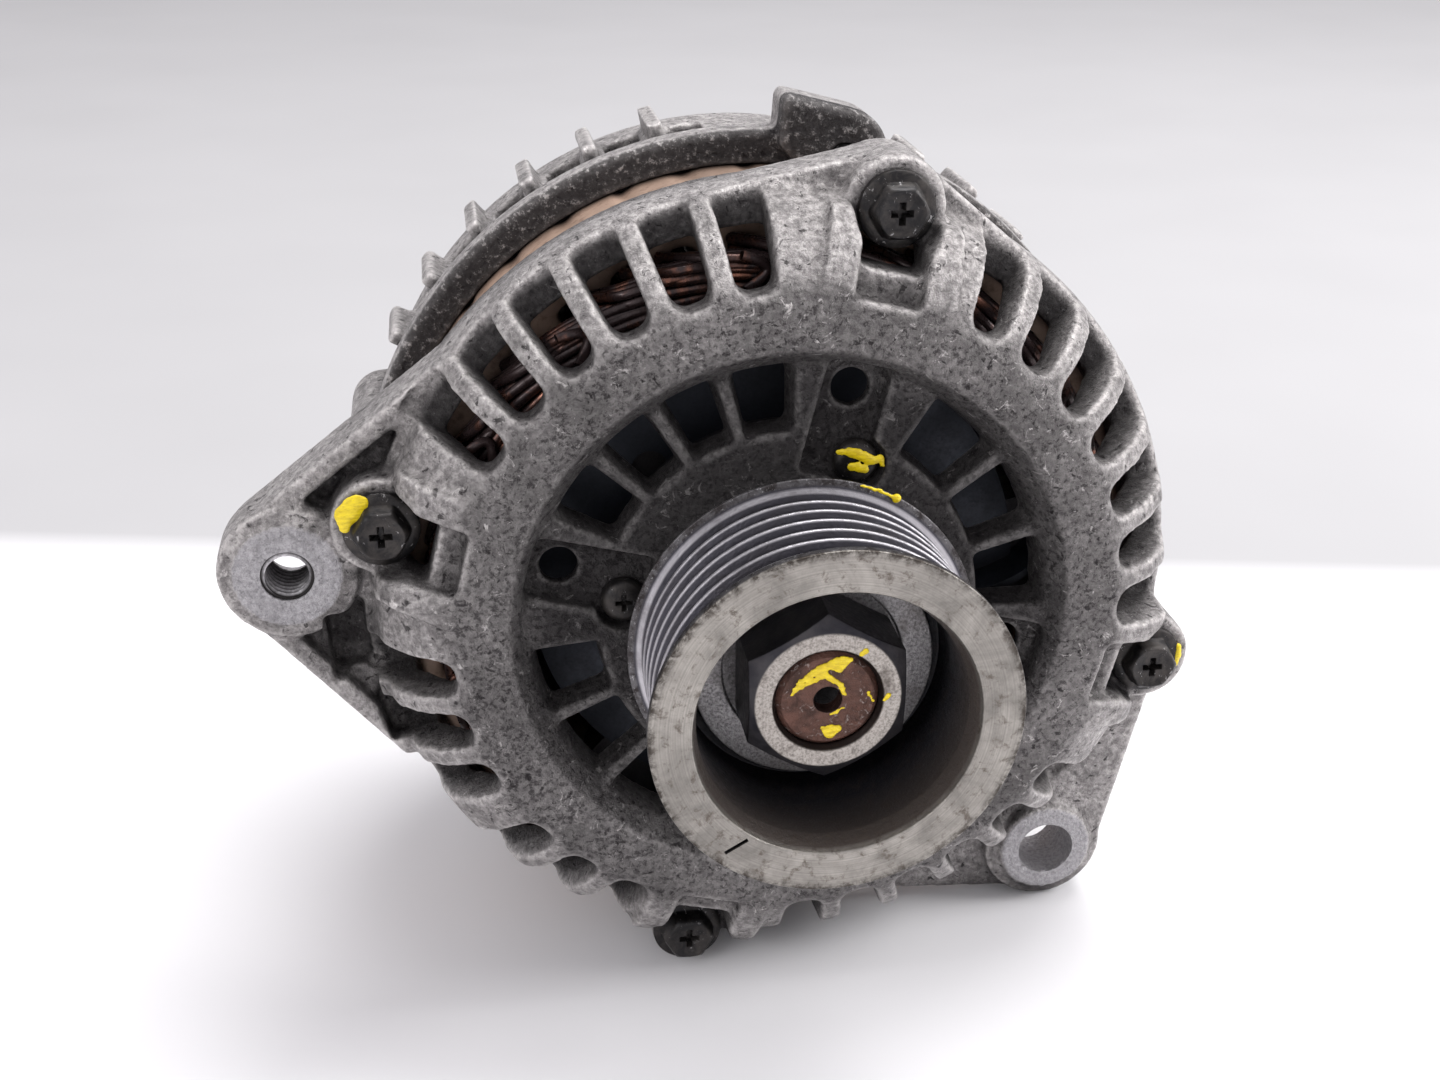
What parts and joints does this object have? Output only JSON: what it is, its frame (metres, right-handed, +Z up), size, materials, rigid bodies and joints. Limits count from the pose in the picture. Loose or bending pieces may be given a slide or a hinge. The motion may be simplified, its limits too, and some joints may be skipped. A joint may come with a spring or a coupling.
{
  "type": "car alternator",
  "caption": "Internal-fan car alternator: poly-V pulley, finned two-part cast housing clamped on a stator, claw-pole rotor, brushes, regulator and rectifier, two mounting ears.",
  "frame": {"origin": "on the shaft's axis, in the middle plane of the pulley's seven-groove belt track", "axes": "-Y points forward along the shaft towards the pulley, +X right seen from the pulley, +Z up as it stands"},
  "size_m": [0.1655, 0.1503, 0.1479],
  "materials": {
    "cast_alloy": "rough cast",
    "plain_aluminium": "satin",
    "laminations": "tarnished",
    "copper_winding": "varnished copper",
    "copper": "bright copper",
    "tinned_brass": "tinned",
    "black_steel": "black oxide",
    "plated_steel": "zinc plated",
    "bearing_steel": "ground",
    "pulley_steel": "worn turned steel",
    "nut_steel": "dark phosphate",
    "shaft_steel": "turned, lightly rusted",
    "forged_iron": "forged",
    "black_plastic": "glass-filled",
    "carbon": "graphite"
  },
  "bodies": {
    "housing": {"battery_stud": "tinned_brass", "bearing_retainer": "plated_steel", "brush_holder": "black_plastic", "front_bearing_outer_race": "bearing_steel", "front_brush_spring": "plated_steel", "front_housing": "cast_alloy", "negative_diodes": "plated_steel", "plug_pins": "tinned_brass", "plug_socket": "black_plastic", "positive_diodes": "plated_steel", "rear_bearing_outer_race": "bearing_steel", "rear_bearing_sleeve": "black_plastic", "rear_brush_spring": "plated_steel", "rear_housing": "cast_alloy", "rectifier_negative_plate": "plain_aluminium", "rectifier_positive_plate": "plain_aluminium", "rectifier_screws": "plated_steel", "regulator": "black_plastic", "regulator_heat_sink": "plain_aluminium", "retainer_screws": "black_steel", "stator_core": "laminations", "stator_leads": "copper", "stator_winding": "copper_winding", "stud_insulator": "black_plastic", "stud_nut": "plated_steel", "terminal_board": "black_plastic", "through_bolts": "black_steel"},
    "rotor": {"rotor_shaft": "shaft_steel", "pulley": "pulley_steel", "pulley_nut": "nut_steel", "spacer_collar": "plated_steel", "front_claw_pole": "forged_iron", "rear_claw_pole": "forged_iron", "field_coil": "copper_winding", "field_coil_bobbin": "black_plastic", "front_fan": "plated_steel", "rear_fan": "plated_steel", "slip_ring_sleeve": "black_plastic", "slip_rings": "copper", "front_bearing_inner_race": "bearing_steel", "rear_bearing_inner_race": "bearing_steel"},
    "front_balls": {"front_bearing_balls": "bearing_steel"},
    "rear_balls": {"rear_bearing_balls": "bearing_steel"},
    "front_brush": {"front_brush": "carbon"},
    "rear_brush": {"rear_brush": "carbon"}
  },
  "joints": [
    {"name": "rotor_spin", "type": "hinge", "parent": "housing", "child": "rotor", "pos_m": [0, 0, 0], "axis": [0, 1, 0], "continuous": true},
    {"name": "front_bearing_spin", "type": "hinge", "parent": "housing", "child": "front_balls", "pos_m": [0, 0.0275, 0], "axis": [0, 1, 0], "continuous": true},
    {"name": "rear_bearing_spin", "type": "hinge", "parent": "housing", "child": "rear_balls", "pos_m": [0, 0.1095, 0], "axis": [0, 1, 0], "continuous": true},
    {"name": "front_brush_slide", "type": "slide", "parent": "housing", "child": "front_brush", "axis": [0, 0, 1], "range_m": [0, 0.006], "stiffness_N_per_m": 180, "deforming": ["front_brush_spring"]},
    {"name": "rear_brush_slide", "type": "slide", "parent": "housing", "child": "rear_brush", "axis": [0, 0, 1], "range_m": [0, 0.006], "stiffness_N_per_m": 180, "deforming": ["rear_brush_spring"]}
  ],
  "couplings": [
    {"joint": "front_bearing_spin", "follows": "rotor_spin", "ratio": 0.3807},
    {"joint": "rear_bearing_spin", "follows": "rotor_spin", "ratio": 0.38}
  ]
}
